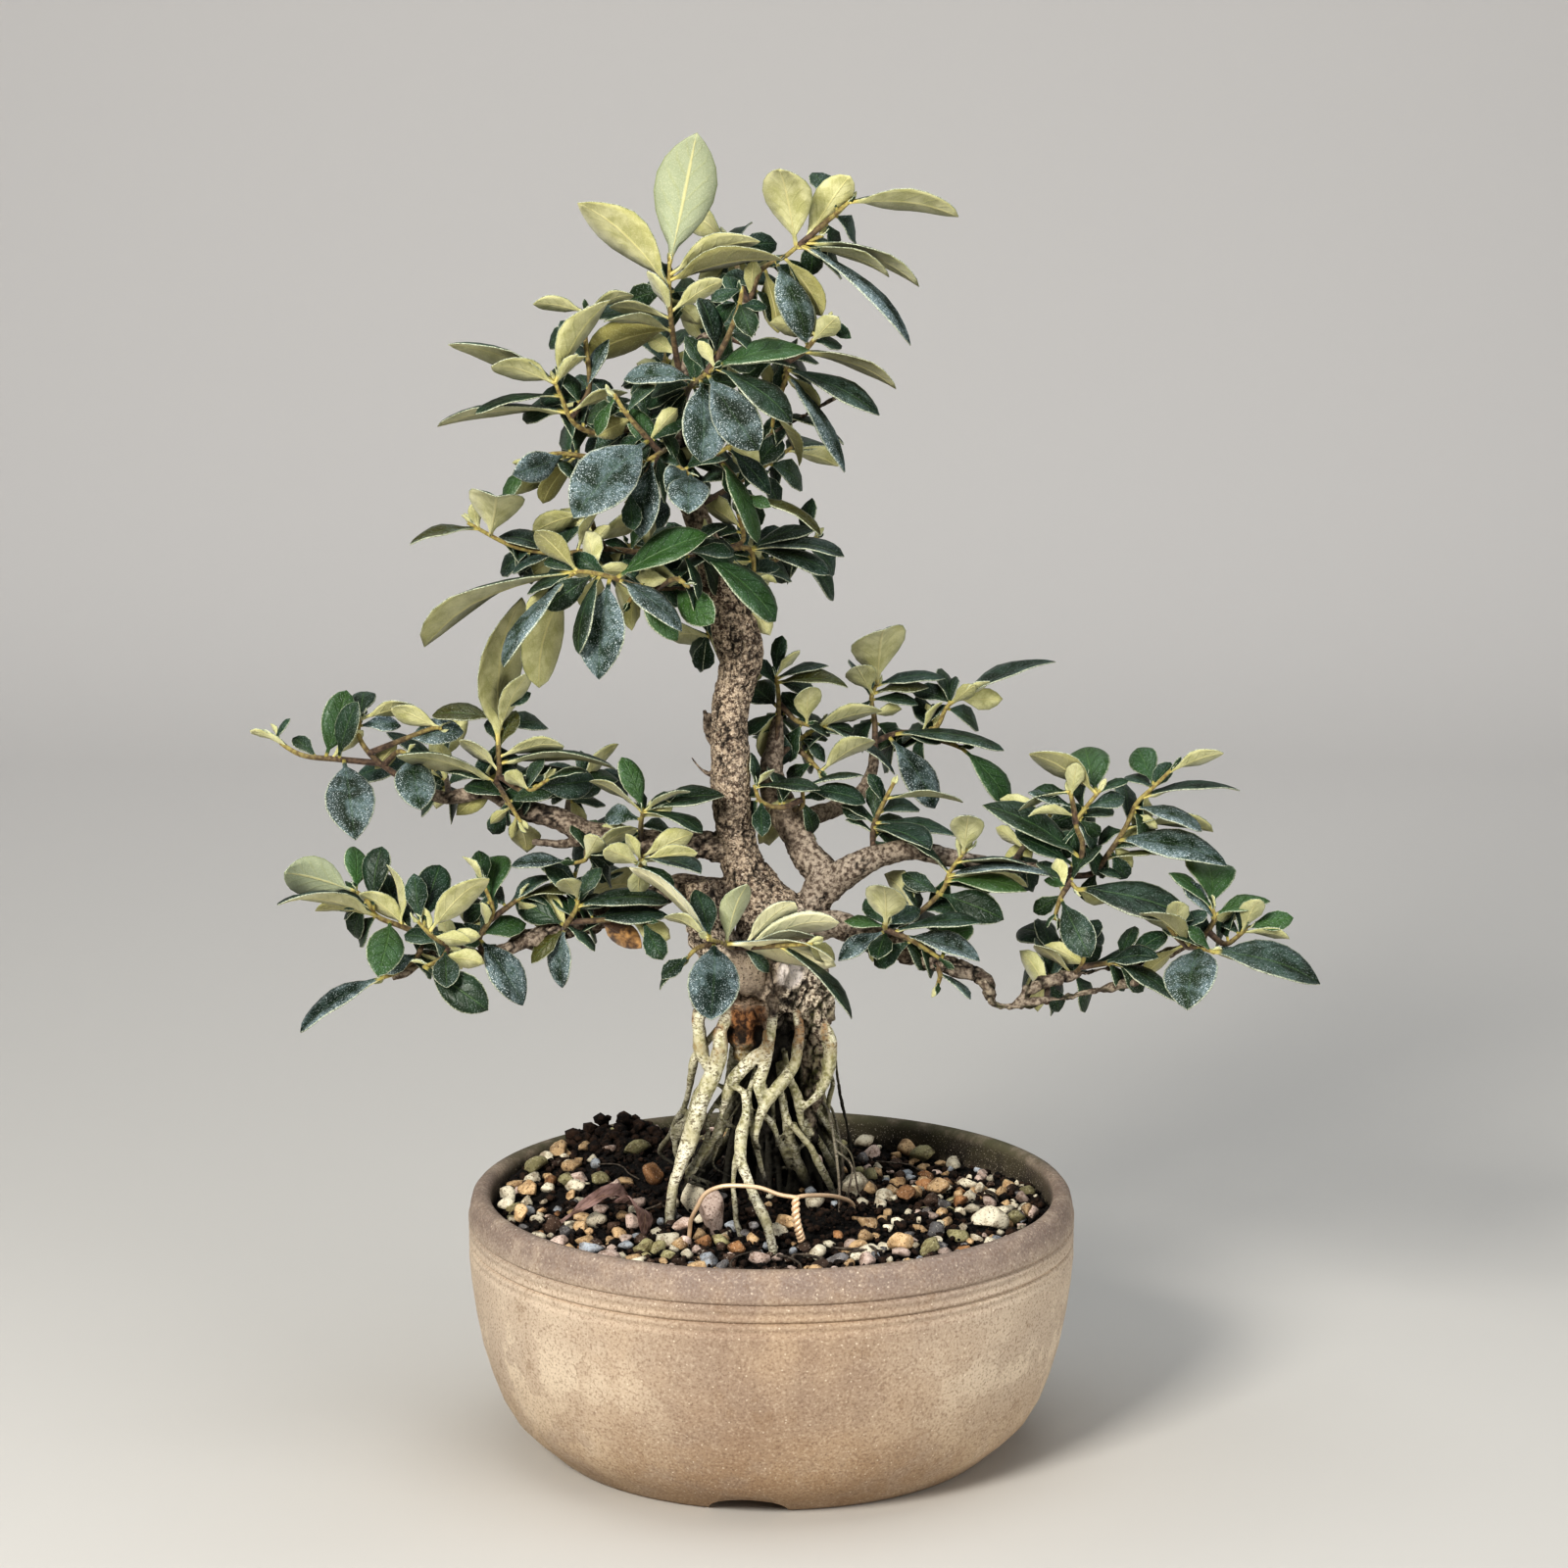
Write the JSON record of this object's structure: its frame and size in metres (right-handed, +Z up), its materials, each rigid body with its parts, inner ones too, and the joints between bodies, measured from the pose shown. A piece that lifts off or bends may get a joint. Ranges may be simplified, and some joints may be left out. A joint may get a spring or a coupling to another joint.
{
  "type": "himalayan cotoneaster bonsai in a pot",
  "caption": "Small exposed-root cotoneaster bonsai with a bare curved trunk, spreading branches and oval leaves, in a round unglazed clay pot filled with gritty soil.",
  "frame": {"origin": "bottom centre of the whole part's bounding box, on the surface that the pot stands on", "axes": "+Z up, the front of the tree faces -Y, +X to the right as seen from the front"},
  "size_m": [0.3066, 0.1804, 0.3874],
  "materials": {
    "clay": "unglazed, matt, speckled",
    "soil": "rough, damp",
    "bark": "rough bark",
    "leaf": "satin above, felted below",
    "dry_leaf": "dry, matt",
    "wire": "copper-toned, satin",
    "screen": "matt"
  },
  "bodies": {
    "root": {"branch_front": "leaf", "branch_top": "leaf", "branch_under": "leaf", "crown_back_left": "leaf", "crown_back_low_left": "leaf", "crown_back_low_right": "leaf", "crown_back_middle": "leaf", "crown_back_right": "leaf", "crown_back_tip": "leaf", "crown_back_top": "leaf", "crown_far_left": "leaf", "crown_front_left": "leaf", "crown_front_right": "leaf", "crown_front_top": "leaf", "crown_left": "leaf", "crown_low_front": "leaf", "crown_low_left": "leaf", "crown_low_right": "leaf", "crown_right": "leaf", "crown_top_left": "leaf", "crown_top_right": "leaf", "crown_upper_left": "leaf", "drain_screen": "screen", "dry_leaf_long": "dry_leaf", "dry_leaf_short": "dry_leaf", "front_rosette": "leaf", "left_back_inner": "leaf", "left_back_outer": "leaf", "low_left_back": "leaf", "lower_left_end": "leaf", "lower_left_front": "leaf", "lower_left_inner": "leaf", "lower_left_middle": "leaf", "pot": "clay", "right_back_far": "leaf", "right_back_inner": "leaf", "right_back_low": "leaf", "right_back_lower": "leaf", "right_back_middle": "leaf", "right_back_top": "leaf", "right_back_under": "leaf", "right_end_front": "leaf", "right_end_middle": "leaf", "right_end_top": "leaf", "right_front": "leaf", "right_low_twig": "leaf", "right_middle_upright": "leaf", "right_stub": "leaf", "right_top_end": "leaf", "right_top_far": "leaf", "right_upright": "leaf", "soil_and_gravel": "soil", "training_wire": "wire", "trunk_and_roots": "bark", "trunk_back": "leaf", "upper_left_end": "leaf", "upper_left_middle": "leaf"}
  },
  "joints": []
}
